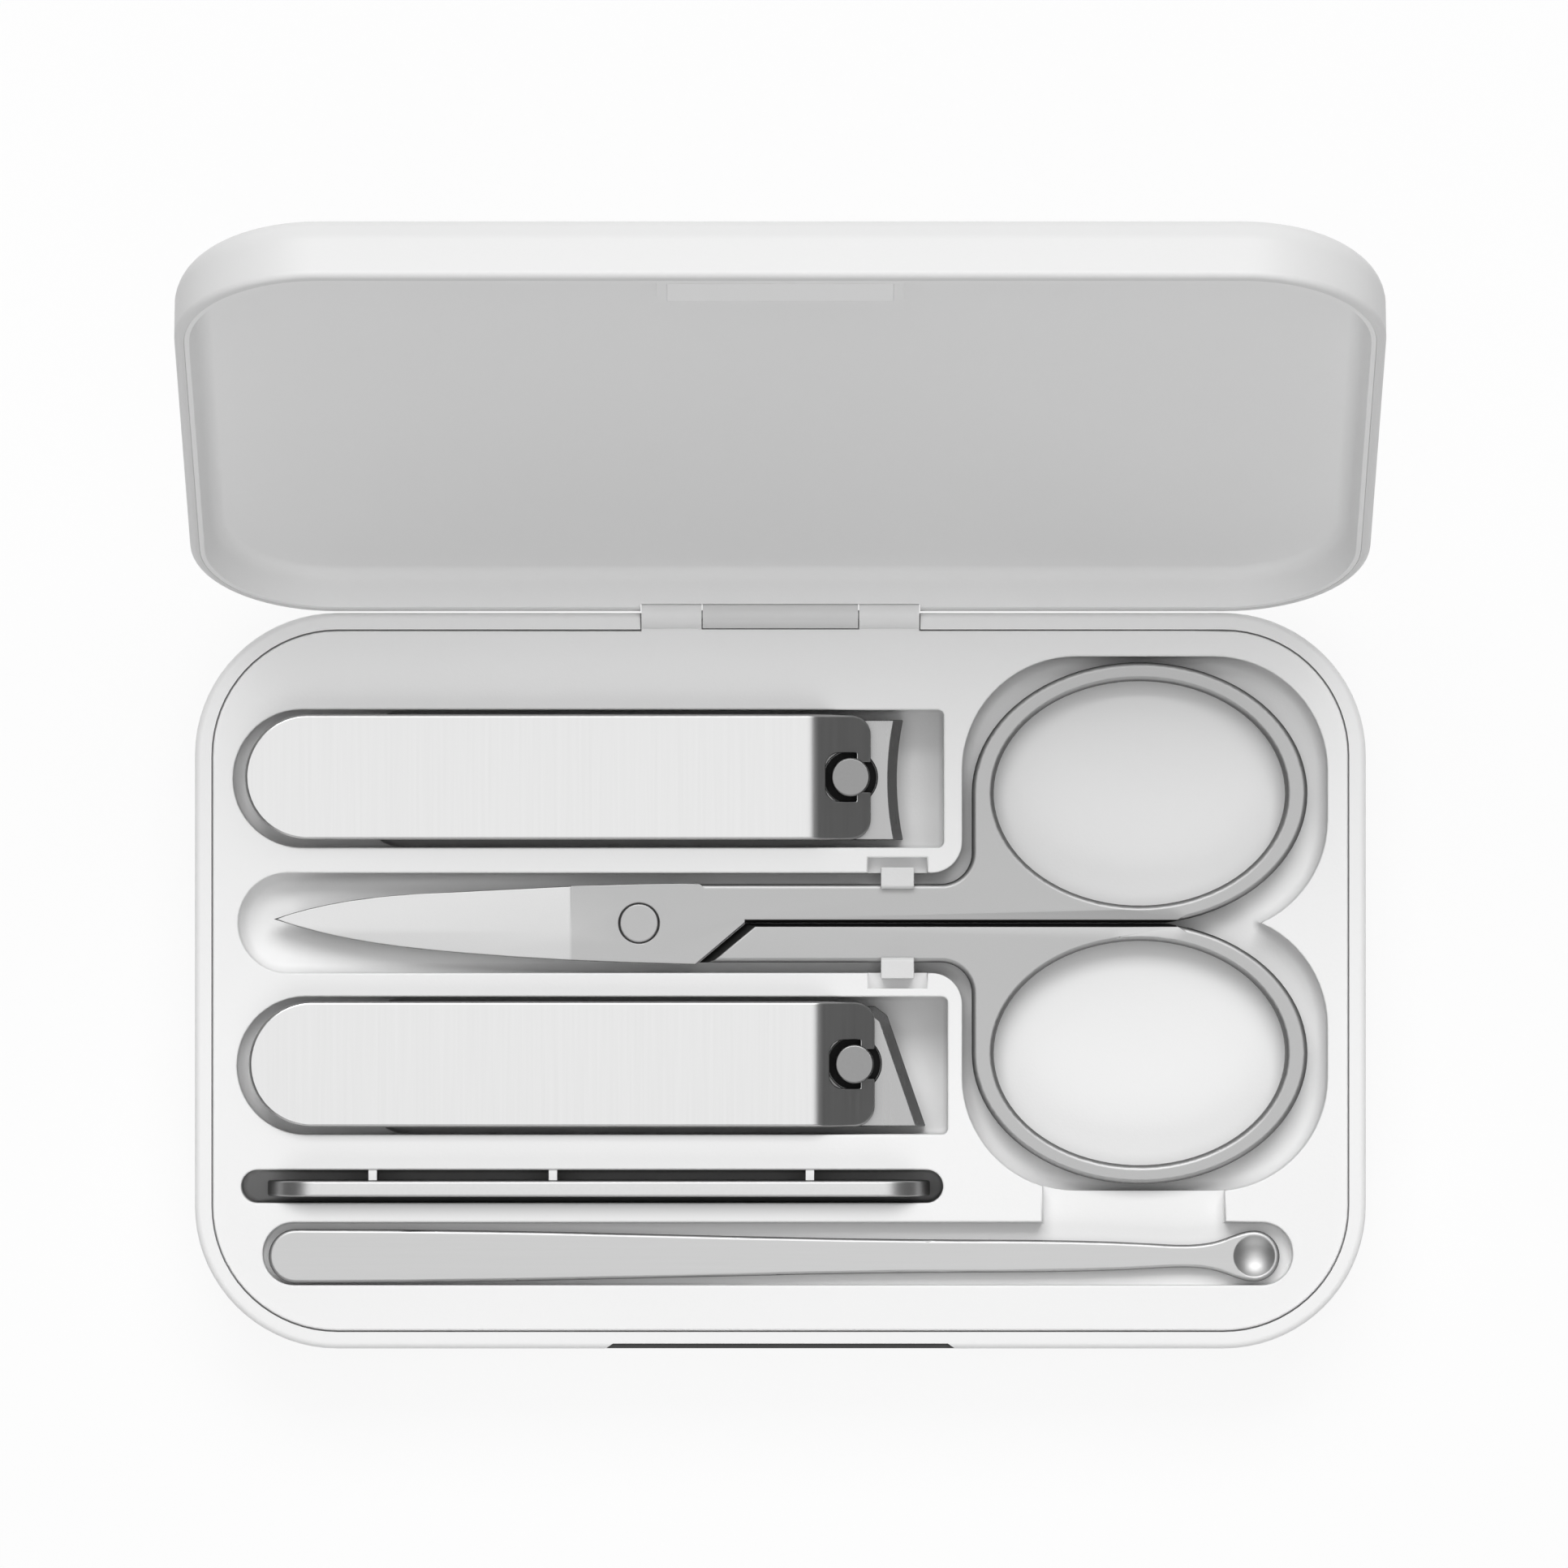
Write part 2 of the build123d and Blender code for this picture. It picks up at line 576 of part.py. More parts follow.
def clipper_pieces(prefix, pin, jaw):
    """Writes the five pieces of one clipper."""
    x, y = pin
    head = jaw_outline(pin, jaw)
    outline = leaf_outline(pin, head)
    rivet_x = x - rivet_setback
    middle_y = y + leaf_shift

    with BuildSketch() as lip:
        add(head)
        add(Pos(-jaw_lip_width, 0) * head, mode=Mode.SUBTRACT)

    with BuildPart() as lower_leaf:
        with BuildSketch(Plane.XY.offset(clipper_floor)):
            add(outline)
        extrude(amount=leaf_thickness)
        with BuildSketch(Plane.XY.offset(clipper_floor)):
            add(lip.sketch)
        extrude(amount=leaf_thickness + jaw_lip)
        with BuildSketch(Plane.XY.offset(clipper_floor)):
            with Locations((x, y)):
                Circle(stem_radius + running_gap)
            with Locations((rivet_x, middle_y)):
                Circle(rivet_radius + running_gap)
        extrude(amount=2 * leaf_thickness, mode=Mode.SUBTRACT)
        with BuildSketch(Plane.XY.offset(clipper_floor)):
            with Locations((x, y)):
                Circle(flange_radius + running_gap)
            with Locations((rivet_x, middle_y)):
                Circle(rivet_head_radius + running_gap)
        extrude(amount=flange_height + running_gap, mode=Mode.SUBTRACT)
    write(lower_leaf, f"{prefix}_lower_leaf")

    # The upper leaf rises from the rivet to a crown, then drops to the level head.
    tail_mid = tail_low + leaf_thickness / 2
    head_mid = upper_low + leaf_thickness / 2
    crown_mid = head_mid + leaf_crown
    with BuildPart() as upper_leaf:
        with BuildSketch(side_plane(middle_y + clipper_width / 2)):
            with BuildLine() as spine:
                FilletPolyline(
                    (x - leaf_tail - 1, tail_mid),
                    (rivet_x + leaf_rise_start, tail_mid),
                    (x + leaf_crown_x, crown_mid),
                    (x + leaf_head_x, head_mid),
                    (x + clipper_width, head_mid),
                    radius=leaf_bend,
                )
            trace(spine.line, leaf_thickness)
        extrude(amount=clipper_width)
        with BuildSketch(Plane.XY):
            add(outline)
        extrude(amount=3 * base_height, mode=Mode.INTERSECT)
        with BuildSketch(Plane.XY.offset(upper_low - jaw_lip)):
            add(lip.sketch)
        extrude(amount=jaw_lip + leaf_thickness / 2)
        flat = upper_leaf.faces().filter_by(Axis.Z).sort_by(Axis.Z)[-1]
        front = flat.edges().filter_by(lambda edge: edge.center().X > x + jaw_front)
        chamfer(front, length=leaf_thickness / 2, length2=jaw_bevel)
        with BuildSketch(Plane.XY):
            with Locations((x, y)):
                Circle(leaf_hole_radius)
            with Locations((rivet_x, middle_y)):
                Circle(rivet_radius + running_gap)
        extrude(amount=3 * base_height, mode=Mode.SUBTRACT)
    write(upper_leaf, f"{prefix}_upper_leaf")

    with BuildPart() as rivet:
        with BuildSketch(Plane.XY.offset(clipper_floor)):
            with Locations((rivet_x, middle_y)):
                Circle(rivet_head_radius)
        extrude(amount=flange_height)
        with BuildSketch(Plane.XY.offset(clipper_floor)):
            with Locations((rivet_x, middle_y)):
                Circle(rivet_radius)
        extrude(amount=2 * leaf_thickness + tail_gap + 2 * running_gap)
        with BuildSketch(Plane.XY.offset(tail_low + leaf_thickness + running_gap)):
            with Locations((rivet_x, middle_y)):
                Circle(rivet_head_radius)
        extrude(amount=rivet_head_height)
        fillet(rivet.faces().sort_by(Axis.Z)[-1].edges(), rivet_head_height / 2)
    write(rivet, f"{prefix}_rivet")

    with BuildPart() as pin_post:
        steps = (
            (clipper_floor, flange_radius, flange_height),
            (clipper_floor, stem_radius, upper_top - clipper_floor),
            (clipper_floor, neck_radius, pin_axis_z + head_rise - clipper_floor),
            (pin_axis_z + head_rise, head_radius, head_height),
        )
        for low_z, radius, height in steps:
            with BuildSketch(Plane.XY.offset(low_z)):
                with Locations((x, y)):
                    Circle(radius)
            extrude(amount=height)
        fillet(pin_post.faces().sort_by(Axis.Z)[-1].edges(), head_round)
    write(pin_post, f"{prefix}_pin")

    # Bent down through the pin's axis at its front end, where a window and two prongs hold the pin's head.
    end_x = x + 2 * lever_reach
    end_z = pin_axis_z - (end_x - x) * slope_rise / lever_bend
    with BuildPart() as lever:
        with BuildSketch(side_plane(y + clipper_width / 2)):
            with BuildLine() as spine:
                FilletPolyline(
                    (x - lever_length - 1, pin_axis_z + slope_rise),
                    (x - lever_bend, pin_axis_z + slope_rise),
                    (end_x, end_z),
                    radius=lever_bend_radius,
                )
            trace(spine.line, lever_thickness)
        extrude(amount=clipper_width)
        with BuildSketch(Plane.XY) as plan:
            with Locations((x - lever_length, y)):
                Rectangle(lever_length + lever_reach, clipper_width, align=(Align.MIN, Align.CENTER))
            fillet(plan.vertices().group_by(Axis.X)[0], clipper_width / 2 - hair)
            fillet(plan.vertices().group_by(Axis.X)[-1], lever_corner)
            with Locations((x + lever_reach, y)):
                prong_gap = 2 * prong_half_gap
                Rectangle(2 * lever_reach, prong_gap, align=(Align.MAX, Align.CENTER), mode=Mode.SUBTRACT)
        extrude(amount=3 * base_height, mode=Mode.INTERSECT)
        with BuildSketch(Plane.XY) as window:
            with Locations((x - window_back, y)):
                Rectangle(window_back + window_front, 2 * slot_half_width, align=(Align.MIN, Align.CENTER))
            fillet(window.vertices().group_by(Axis.X)[0], lever_thickness)
        extrude(amount=3 * base_height, mode=Mode.SUBTRACT)
        flat_top = lever.faces().filter_by(Axis.Z).sort_by(Axis.Z)[-1].edges()
        fillet(flat_top.filter_by(lambda edge: edge.center().X < x - lever_bend - lever_reach), lever_edge)
    write(lever, f"{prefix}_lever")


clipper_pieces("back_clipper", back_pin, straight_jaw)
clipper_pieces("front_clipper", front_pin, slanted_jaw)


# %% Scissors: two halves lapped at the pivot, each with a finger loop, and the rivet that joins them

scissor_top = scissor_floor + scissor_thickness
lap_z = scissor_floor + scissor_thickness / 2
shank_in = shank_gap / 2
shank_out = shank_in + shank_width


def blade_outline(back, edge, tip):
    """A blade's outline from two lists of points along its back and its edge, both from pivot to tip."""
    with BuildSketch() as blade:
        with BuildLine():
            Spline(*back, tip)
            Spline(*edge, tip)
            Line(back[0], edge[0])
        make_face()
    return blade.sketch


# Outlines are drawn with the pivot's own Y as zero, handles towards +Y, and mirrored for the other half.
blade_stations = [-20 * stretch_x, -30 * stretch_x, -40 * stretch_x]
blade_back = [(-10, 3.85), *zip(blade_stations, (3.6, 3.1, 2.4))]
blade_edge = [(-8.2, -4.0), *zip(blade_stations, (-3.6, -2.95, -1.8))]
blade_tip = (-48.9 * stretch_x, 0.4)
hidden_back = [(-10, 3.6), *zip(blade_stations, (3.2, 2.5, 1.3))]
hidden_edge = [(-8.2, -3.7), *zip(blade_stations, (-3.3, -2.6, -1.5))]
hidden_tip = (-46.5 * stretch_x, -0.5)
lap_line = [(-8.2, -4.0), (-3.4, shank_in)]
clear_line = [(-7.81, shank_out), (-3.37, shank_in)]


def handle_outline():
    """Shank and finger loop of one half."""
    with BuildSketch() as handle:
        Polygon(clear_line[0], clear_line[1], (loop_x, shank_in), (loop_x, shank_out), align=None)
        with Locations((loop_x - loop_half_length, shank_in)):
            Rectangle(loop_half_length, loop_offset - shank_in, align=(Align.MIN, Align.MIN))
        corner = handle.vertices().filter_by(lambda point: abs(point.X - (loop_x - loop_half_length)) < hair)
        fillet(corner.sort_by(Axis.Y)[0], shoulder_radius)
        with Locations((loop_x, loop_offset)):
            Ellipse(loop_half_length, loop_half_width)
            Ellipse(loop_half_length - loop_side, loop_half_width - loop_crown, mode=Mode.SUBTRACT)
        with Locations((0, shank_in)):
            Rectangle(case_length, loop_half_width, align=(Align.CENTER, Align.MAX), mode=Mode.SUBTRACT)
    return handle.sketch


def scissor_half(label, side, blade, low, disc_low):
    """One half. Side +1 has its loop towards +Y and its blade in the upper level."""
    mirrored = Plane.XY if side > 0 else Plane(origin=(0, 0, 0), x_dir=(1, 0, 0), z_dir=(0, 0, -1))
    place = Pos(0, pivot[1]) * mirrored.location
    handle = place * handle_outline()
    with BuildSketch() as lap:
        Polygon(blade_back[0], clear_line[0], clear_line[1], lap_line[1], lap_line[0], align=None)
        add(blade)
    level = place * lap.sketch
    with BuildPart() as half:
        with BuildSketch(Plane.XY.offset(scissor_floor)):
            add(handle)
        extrude(amount=scissor_thickness)
        inner_y = pivot[1] + side * shank_in
        # The two shanks nearly touch, with a narrow groove between their top edges.
        with BuildSketch(Plane.YZ.offset(clear_line[1][0])):
            Polygon(
                (inner_y, scissor_top - groove_depth),
                (inner_y + side * groove_half, scissor_top),
                (inner_y + side * groove_half, base_height),
                (inner_y - side * groove_half, base_height),
                (inner_y - side * groove_half, scissor_top - groove_depth),
                align=None,
            )
        extrude(amount=loop_x + groove_end - clear_line[1][0], mode=Mode.SUBTRACT)
        rims = half.faces().filter_by(Axis.Z).edges().filter_by(lambda edge: edge.center().X > 0)
        fillet(rims.filter_by(lambda edge: abs(edge.center().Y - inner_y) > groove_half + hair), loop_round)
        with BuildSketch(Plane.XY.offset(low)):
            add(level)
        extrude(amount=scissor_thickness / 2 - running_gap / 2)
        with BuildSketch(Plane.XY):
            with Locations(pivot):
                Circle(rivet_shaft_radius + running_gap)
        extrude(amount=3 * base_height, mode=Mode.SUBTRACT)
        with BuildSketch(Plane.XY.offset(disc_low)):
            with Locations(pivot):
                Circle(rivet_disc_radius + running_gap)
        extrude(amount=rivet_disc_height + running_gap, mode=Mode.SUBTRACT)
        if side > 0:
            # The blade is ground on a slope that is deepest at its back.
            with BuildSketch(Plane.YZ.offset(ground_start)):
                Polygon(
                    (pivot[1] + ground_fade, scissor_top),
                    (pivot[1] + ground_reach, scissor_top - ground_depth),
                    (pivot[1] + ground_reach, base_height),
                    (pivot[1] + ground_fade, base_height),
                    align=None,
                )
            extrude(amount=-case_length, mode=Mode.SUBTRACT)
        else:
            # The shank's end slopes down to where the other half laps over it.
            start = Vector(clear_line[0][0], pivot[1] - clear_line[0][1], scissor_top)
            along = Vector(clear_line[1][0], pivot[1] - clear_line[1][1], scissor_top) - start
            with BuildSketch(Plane(start, x_dir=along.cross(Vector(0, 0, 1)), z_dir=along)):
                Polygon(
                    (slant_width, 0),
                    (0, groove_depth),
                    (-slant_width, groove_depth),
                    (-slant_width, -groove_depth),
                    (slant_width, -groove_depth),
                    align=None,
                )
            extrude(amount=2 * along.length, both=True, mode=Mode.SUBTRACT)
    write(half, label)


scissor_half("scissor_upper_half", 1, blade_outline(blade_back, blade_edge, blade_tip),
             lap_z + running_gap / 2, scissor_top - rivet_disc_height - running_gap)
scissor_half("scissor_lower_half", -1, blade_outline(hidden_edge, hidden_back, hidden_tip),
             scissor_floor, scissor_floor)

with BuildPart() as scissor_rivet:
    steps = (
        (scissor_floor, rivet_disc_radius, rivet_disc_height),
        (scissor_floor, rivet_shaft_radius, scissor_thickness),
        (scissor_top - rivet_disc_height, rivet_disc_radius, rivet_disc_height),
    )
    for low_z, radius, height in steps:
        with BuildSketch(Plane.XY.offset(low_z)):
            with Locations(pivot):
                Circle(radius)
        extrude(amount=height)
    fillet(scissor_rivet.faces().sort_by(Axis.Z)[-1].edges(), head_round)
write(scissor_rivet, "scissor_rivet")


# %% Catches: a springy leaf on each side of the shanks, with a nose that hooks over them

def catch(label, side):
    """Writes one catch. Side +1 is the one nearer the hinge."""
    back_y = channel_middle + side * (channel_half - catch_inset + catch_thickness)
    leaf_y = back_y - side * catch_thickness
    nose_y = pivot[1] + side * (shank_out - catch_nose)
    nose_z = scissor_top + hook_gap
    hook_z = nose_z + hook_height
    with BuildPart() as hook:
        with BuildSketch(Plane.YZ.offset(catch_x - catch_width / 2)):
            with BuildLine():
                Polyline(
                    (back_y, catch_floor),
                    (leaf_y, catch_floor),
                    (leaf_y, nose_z),
                    (nose_y, nose_z),
                    (nose_y, hook_z - hook_height / 3),
                    (nose_y + side * hook_height / 3, hook_z),
                    (back_y, hook_z),
                    close=True,
                )
            make_face()
        extrude(amount=catch_width)
    write(hook, label)


catch("back_catch", 1)
catch("front_catch", -1)


# %% Nail file, stored on its edge, and ear pick

with BuildPart() as nail_file:
    with BuildSketch(side_plane(file_centre[1] + file_thickness / 2)):
        with Locations((file_centre[0], file_floor + file_height / 2)):
            SlotOverall(file_length, file_height)
    extrude(amount=file_thickness)
write(nail_file, "nail_file")

# Half widths along the ear pick: a wide flat tail, a slim neck, and the spoon.
pick_profile = [
    (pick_tail + pick_tail_radius, pick_tail_radius),
    (-20.0 * stretch_x, 2.3),
    (15.0 * stretch_x, 1.6),
    (36.0 * stretch_x, 1.2),
    (42.5 * stretch_x, 1.55),
    (spoon_x, spoon_radius),
]
dish_sphere = (dish_radius**2 + dish_depth**2) / (2 * dish_depth)
with BuildSketch() as pick_outline:
    with BuildLine():
        back_edge = Spline(*[(x, pick_y + dy) for x, dy in pick_profile], tangents=((1, 0), (1, 0)))
        front_edge = Spline(*[(x, pick_y - dy) for x, dy in pick_profile], tangents=((1, 0), (1, 0)))
        ThreePointArc(back_edge @ 0, (pick_tail, pick_y), front_edge @ 0)
        ThreePointArc(back_edge @ 1, (spoon_x + spoon_radius, pick_y), front_edge @ 1)
    make_face()

with BuildPart() as ear_pick:
    with BuildSketch(Plane.XY.offset(pick_floor)):
        add(pick_outline.sketch)
    extrude(amount=pick_thickness)
    fillet(ear_pick.faces().filter_by(Axis.Z).edges(), pick_round)
    with Locations((spoon_x, pick_y, pick_floor + pick_thickness - dish_depth + dish_sphere)):
        Sphere(dish_sphere, mode=Mode.SUBTRACT)
write(ear_pick, "ear_pick")
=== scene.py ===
# %% [markdown]
# # Manicure set case
# A flat white plastic case stands open. A moulded tray inside it holds two nail clippers, a pair
# of scissors, a nail file on its edge and an ear pick. The solids come from a CAD model that is
# loaded as a fixed frame, so nothing here moves or reshapes them. The cells below lay a softened
# copy with a finish over each solid, and then set up the floor, the light and the camera.

# %% Load the frame
import json
from math import radians

import bmesh
import bpy
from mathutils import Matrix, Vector
from mathutils.geometry import intersect_point_line


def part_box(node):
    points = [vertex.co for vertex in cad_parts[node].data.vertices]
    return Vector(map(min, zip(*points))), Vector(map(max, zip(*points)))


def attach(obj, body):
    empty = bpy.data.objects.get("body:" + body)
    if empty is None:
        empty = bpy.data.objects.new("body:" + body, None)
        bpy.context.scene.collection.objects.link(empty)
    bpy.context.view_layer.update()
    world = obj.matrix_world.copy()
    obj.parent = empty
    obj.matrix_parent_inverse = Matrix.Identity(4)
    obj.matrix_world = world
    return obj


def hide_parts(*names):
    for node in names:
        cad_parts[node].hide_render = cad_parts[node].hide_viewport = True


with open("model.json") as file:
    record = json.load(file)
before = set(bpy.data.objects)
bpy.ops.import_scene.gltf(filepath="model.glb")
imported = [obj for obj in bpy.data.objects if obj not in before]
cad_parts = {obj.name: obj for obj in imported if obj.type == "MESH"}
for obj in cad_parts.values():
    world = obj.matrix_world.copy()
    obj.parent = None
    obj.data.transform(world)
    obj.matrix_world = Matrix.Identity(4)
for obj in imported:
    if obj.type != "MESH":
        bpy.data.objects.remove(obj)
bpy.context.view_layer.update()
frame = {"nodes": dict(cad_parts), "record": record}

mm = 0.001
nodes = frame["nodes"]

# %% [markdown]
# ## Places on the object
# Finishes and cuts below have to sit where the solids are. Their places could be typed in as
# numbers, but then they would be wrong as soon as a size changed. So they are read from the boxes
# round the solids: the halfway point of a clipper's pin, for one, is where its jaws have a hole.

# %% Measuring helpers
def halfway(low, high):
    """The point halfway between two corners."""
    return [(a + b) / 2 for a, b in zip(low, high)]


def middle(node_name):
    """The middle of the box round one solid."""
    return halfway(*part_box(node_name))


tray_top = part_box("tray_insert")[1][2]
print("tray top:", tray_top, "scissors' rivet:", middle("scissor_rivet"))

# %% [markdown]
# ## Writing shader nodes
# A finish is a small graph of nodes. It could be wired by hand in the editor, but a script can
# repeat it for every material. One helper adds a node together with all that feeds it, so each
# graph below reads as a list of short steps. A Mix node has several sockets of the same name, and
# its colour sockets can be told apart only by their numbers, so these numbers get names here.

# %% A node and what feeds it
def node(tree, kind, feeds=None, **settings):
    """Add a node. Each feed is a plain value, or another node's output that is wired in."""
    made = tree.nodes.new(kind)
    for name, value in settings.items():
        setattr(made, name, value)
    for socket, source in (feeds or {}).items():
        if isinstance(source, bpy.types.NodeSocket):
            tree.links.new(source, made.inputs[socket])
        else:
            made.inputs[socket].default_value = source
    return made


def maths(tree, operation, *terms):
    """Work on numbers with a Math node, and give the result."""
    return node(tree, "ShaderNodeMath", dict(enumerate(terms)), operation=operation).outputs[0]


def vectors(tree, operation, *terms):
    """Work on vectors with a Vector Math node, and give the result."""
    feeds = dict(enumerate(terms))
    return node(tree, "ShaderNodeVectorMath", feeds, operation=operation).outputs[0]


def mapped(tree, value, *ends):
    """Turn one range of numbers into another. The ends are from, from, to and to."""
    return node(tree, "ShaderNodeMapRange", dict(enumerate((value, *ends)))).outputs[0]


print("helpers that work on numbers:", maths.__name__, vectors.__name__, mapped.__name__)

# %% Steps that the surface groups share
MIX_A, MIX_B, MIX_RESULT = 6, 7, 2


def noise(tree, place, per_metre, detail=2.0):
    """Add noise with so many spots to the metre, and give its strength from 0 to 1."""
    feeds = {"Vector": place, "Scale": per_metre, "Detail": detail}
    return node(tree, "ShaderNodeTexNoise", feeds).outputs["Fac"]


def shaded(tree, colour, share):
    """Multiply a colour by a number, and give the result."""
    feeds = {"Factor": 1.0, MIX_A: colour, MIX_B: share}
    mix = node(tree, "ShaderNodeMix", feeds, data_type="RGBA", blend_type="MULTIPLY")
    return mix.outputs[MIX_RESULT]


def bumped(tree, height, depth):
    """Tilt the surface as if it had this height, and give the normal."""
    return node(tree, "ShaderNodeBump", {"Height": height, "Distance": depth}).outputs["Normal"]


print("a Mix node's colour sockets:", MIX_A, MIX_B, "and", MIX_RESULT)

# %% A new node group
COLOUR, NUMBER, VECTOR = "NodeSocketColor", "NodeSocketFloat", "NodeSocketVector"
surface_outputs = {"Colour": COLOUR, "Roughness": NUMBER, "Normal": VECTOR}


def new_group(name, inputs, outputs):
    """Start a node group. Give it, and the sockets through which its inputs come in."""
    group = bpy.data.node_groups.new(name, "ShaderNodeTree")
    for label, (kind, default) in inputs.items():
        socket = group.interface.new_socket(label, in_out="INPUT", socket_type=kind)
        socket.default_value = default
    for label, kind in outputs.items():
        group.interface.new_socket(label, in_out="OUTPUT", socket_type=kind)
    return group, node(group, "NodeGroupInput").outputs


def grey(value):
    """A neutral colour. All the plastics and steels here are neutral."""
    return (value, value, value, 1.0)


print("a surface group gives:", ", ".join(surface_outputs))

# %% [markdown]
# ## Moulded grain
# Moulded plastic isn't perfectly smooth. The mould leaves a very fine, even grain, and large flat
# walls vary a little in shade. A picture of a surface could be wrapped round each piece, but noise
# in Object coordinates needs no unwrapping. Several plastics use it, so it is a node group with
# named inputs. The group gives only a colour, a roughness and a normal, and the Principled shader
# stays in each material.

# %% The group for moulded plastic
clouds_per_metre = 25.0
grain_roughness = 0.08
grain, given = new_group(
    "Moulded grain",
    {
        "Colour": (COLOUR, grey(0.9)),
        "Shade spread": (NUMBER, 0.03),
        "Grains per metre": (NUMBER, 4000.0),
        "Grain depth": (NUMBER, 0.01 * mm),
        "Base roughness": (NUMBER, 0.45),
    },
    surface_outputs,
)
place = node(grain, "ShaderNodeTexCoord").outputs["Object"]
fine = noise(grain, place, given["Grains per metre"])
swing = maths(grain, "SUBTRACT", noise(grain, place, clouds_per_metre), 0.5)
share = maths(grain, "MULTIPLY_ADD", swing, given["Shade spread"], 1.0)
node(grain, "NodeGroupOutput", {
    "Colour": shaded(grain, given["Colour"], share),
    "Roughness": maths(grain, "MULTIPLY_ADD", fine, grain_roughness, given["Base roughness"]),
    "Normal": bumped(grain, fine, given["Grain depth"]),
})
print("group made:", grain.name, "with", len(grain.nodes), "nodes")

# %% [markdown]
# ## Marks on steel
# The tools are steel. A belt or a brush leaves fine parallel lines on it, which noise drawn out
# along one direction makes well. Blasted steel has the same noise at an even scale. So one group
# serves both: where its Stretch input is less than one along an axis, the marks are longer that
# way. Faces that stand upright also get a darker colour than faces that lie flat: this is painted
# shade on the tools' sides.

# %% The marks
line_detail = 4.0
marks, given = new_group(
    "Metal marks",
    {
        "Colour": (COLOUR, grey(0.5)),
        "Shade spread": (NUMBER, 0.1),
        "Stretch": (VECTOR, (1.0, 1.0, 1.0)),
        "Marks per metre": (NUMBER, 3000.0),
        "Mark depth": (NUMBER, 0.004 * mm),
        "Base roughness": (NUMBER, 0.3),
        "Roughness spread": (NUMBER, 0.1),
        "Side shade": (NUMBER, 0.35),
    },
    surface_outputs,
)
place = node(marks, "ShaderNodeTexCoord").outputs
drawn_out = vectors(marks, "MULTIPLY", place["Object"], given["Stretch"])
lines = noise(marks, drawn_out, given["Marks per metre"], line_detail)
swing = maths(marks, "SUBTRACT", lines, 0.5)
share = maths(marks, "MULTIPLY_ADD", swing, given["Shade spread"], 1.0)
print("group begun:", marks.name, "with inputs", ", ".join(given.keys()[:-1]))

# %% Painted shade on upright sides, and what the steel group gives
upright, lying_flat = 0.25, 0.95
# Painted shade: the colour darkens as a face turns from lying flat to upright.
facing = node(marks, "ShaderNodeSeparateXYZ", {0: place["Normal"]}).outputs["Z"]
level = maths(marks, "ABSOLUTE", facing)
painted_side_share = mapped(marks, level, upright, lying_flat, given["Side shade"], 1.0)
share = maths(marks, "MULTIPLY", share, painted_side_share)
rough = maths(marks, "MULTIPLY_ADD", swing, given["Roughness spread"], given["Base roughness"])
node(marks, "NodeGroupOutput", {
    "Colour": shaded(marks, given["Colour"], share),
    "Roughness": rough,
    "Normal": bumped(marks, lines, given["Mark depth"]),
})
print("group made:", marks.name, "with", len(marks.nodes), "nodes")

# %% [markdown]
# ## A finish that changes at one place
# Some pieces change at one place: a jaw has painted shade round its pin, and a blade's ground face
# has a brighter colour, which is painted sheen. The mesh could be split there, but that would
# break its smooth shading, so a mask does it. The mask is one inside a shape whose centre and half
# size are given in Object coordinates, and nought outside. A Squareness of 2 makes an ellipsoid,
# which is nearly a round column where one half size is long, and a high Squareness makes a block.
# Fade sets how wide the soft edge is.

# %% The group for a placed mark
far_enough = (2.0, 2.0, 2.0)
mark, given = new_group(
    "Placed mark",
    {
        "Centre": (VECTOR, (0.0, 0.0, 0.0)),
        "Reach": (VECTOR, (1.0, 1.0, 1.0)),
        "Squareness": (NUMBER, 2.0),
        "Fade": (NUMBER, 0.05),
    },
    {"Mask": NUMBER},
)
place = node(mark, "ShaderNodeTexCoord").outputs["Object"]
offset = vectors(mark, "SUBTRACT", place, given["Centre"])
apart = vectors(mark, "ABSOLUTE", vectors(mark, "DIVIDE", offset, given["Reach"]))
capped = vectors(mark, "MINIMUM", apart, far_enough)
ways = node(mark, "ShaderNodeSeparateXYZ", {0: capped}).outputs
x, y, z = (maths(mark, "POWER", ways[axis], given["Squareness"]) for axis in "XYZ")
total = maths(mark, "ADD", maths(mark, "ADD", x, y), z)
inner = maths(mark, "SUBTRACT", 1.0, given["Fade"])
node(mark, "NodeGroupOutput", {"Mask": mapped(mark, total, inner, 1.0, 1.0, 0.0)})
print("group made:", mark.name, "with", len(mark.nodes), "nodes")

# %% [markdown]
# ## Materials from the groups
# Each plastic and each steel could be its own graph, but they differ only in a few values. So one
# function makes them all: it places a surface group, sets its values, and wires it to a Principled
# shader. Where a piece has a patch of another colour, a placed mark chooses between the two.

# %% The function that makes a finish
def finish(name, group, metallic=0.0, patch=None, **values):
    """Make a material. A patch is a second colour, and the inputs of the mark that places it."""
    material = bpy.data.materials.new(name)
    material.use_nodes = True
    tree = material.node_tree
    values = {label.replace("_", " "): value for label, value in values.items()}
    if patch:
        patch_colour, where = patch
        mask = node(tree, "ShaderNodeGroup", where, node_tree=mark).outputs["Mask"]
        feeds = {"Factor": mask, MIX_A: values["Colour"], MIX_B: patch_colour}
        chosen = node(tree, "ShaderNodeMix", feeds, data_type="RGBA")
        values["Colour"] = chosen.outputs[MIX_RESULT]
    surface = node(tree, "ShaderNodeGroup", values, node_tree=group).outputs
    shader = tree.nodes["Principled BSDF"].inputs
    shader["Metallic"].default_value = metallic
    tree.links.new(surface["Colour"], shader["Base Color"])
    tree.links.new(surface["Roughness"], shader["Roughness"])
    tree.links.new(surface["Normal"], shader["Normal"])
    print("finish made:", name)
    return material


